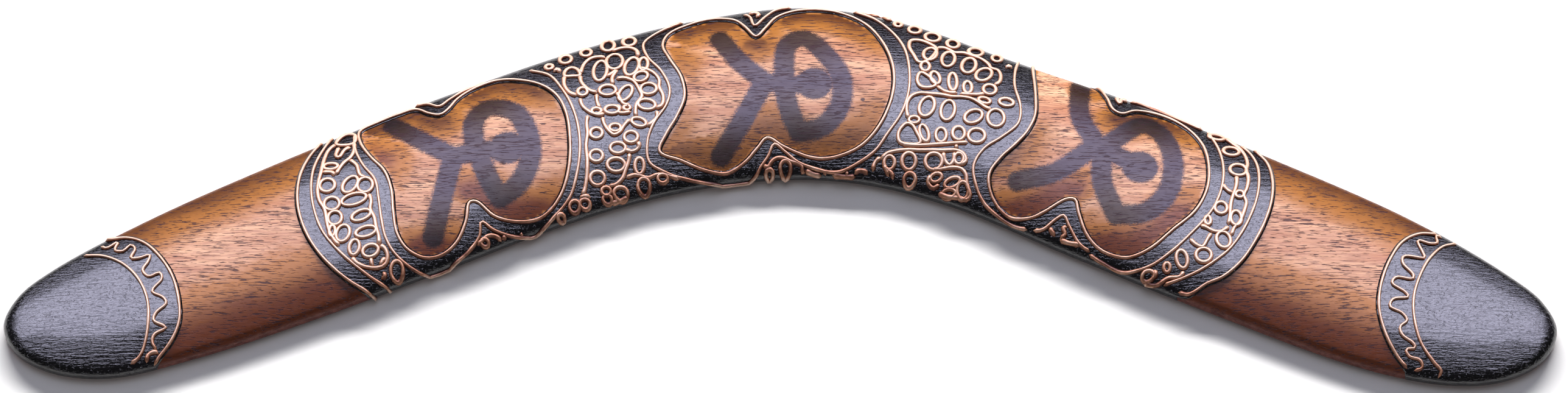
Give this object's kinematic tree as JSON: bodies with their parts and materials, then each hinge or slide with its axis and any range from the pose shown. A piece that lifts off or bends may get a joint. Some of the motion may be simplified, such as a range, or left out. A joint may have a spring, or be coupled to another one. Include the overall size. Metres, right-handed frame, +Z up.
{
  "type": "boomerang",
  "caption": "Wooden boomerang with a domed, lacquered and hand-painted top face, raised copper-coloured piped lines and a flat underside.",
  "frame": {"origin": "middle of the board's plan box, on the plane it rests on", "axes": "+X along the span towards the right tip, +Y towards the outer side of the elbow, +Z up through the domed face"},
  "size_m": [0.401, 0.1123, 0.0107],
  "materials": {
    "wood": "clear satin varnish over stained wood",
    "black_lacquer": "gloss black paint over open grain",
    "copper_paint": "pearly copper relief paint",
    "sprayed_motif": "soft-edged sprayed blue-black paint under varnish"
  },
  "bodies": {
    "root": {"wooden_blade": "wood", "left_tip_lacquer": "black_lacquer", "middle_lacquer": "black_lacquer", "right_tip_lacquer": "black_lacquer", "curls_1": "copper_paint", "curls_2": "copper_paint", "curls_3": "copper_paint", "elbow_lace_1": "copper_paint", "elbow_lace_2": "copper_paint", "elbow_lace_3": "copper_paint", "lace_12_1": "copper_paint", "lace_12_2": "copper_paint", "lace_12_3": "copper_paint", "lace_12_4": "copper_paint", "lace_12_5": "copper_paint", "lace_12_6": "copper_paint", "lace_12_7": "copper_paint", "lace_23_1": "copper_paint", "lace_23_10": "copper_paint", "lace_23_11": "copper_paint", "lace_23_2": "copper_paint", "lace_23_3": "copper_paint", "lace_23_4": "copper_paint", "lace_23_5": "copper_paint", "lace_23_6": "copper_paint", "lace_23_7": "copper_paint", "lace_23_8": "copper_paint", "lace_23_9": "copper_paint", "left_band_inner_line": "copper_paint", "left_band_outer_line": "copper_paint", "left_lace_1": "copper_paint", "left_lace_2": "copper_paint", "left_tip_inner_line": "copper_paint", "left_tip_outer_line": "copper_paint", "left_tip_wave": "copper_paint", "notch_1_lace_1": "copper_paint", "notch_1_lace_2": "copper_paint", "notch_3_lace": "copper_paint", "right_band_inner_line": "copper_paint", "right_band_outer_line": "copper_paint", "right_lace_1": "copper_paint", "right_lace_2": "copper_paint", "right_lace_3": "copper_paint", "right_tip_inner_line": "copper_paint", "right_tip_outer_line": "copper_paint", "right_tip_wave": "copper_paint", "window_1_inner_line": "copper_paint", "window_1_outer_line": "copper_paint", "window_1_top_line": "copper_paint", "window_2_inner_line": "copper_paint", "window_2_outer_line": "copper_paint", "window_2_top_line": "copper_paint", "window_3_inner_line": "copper_paint", "window_3_left_line": "copper_paint", "window_3_notch_line": "copper_paint", "window_3_right_line": "copper_paint", "window_3_top_line": "copper_paint"}
  },
  "joints": []
}
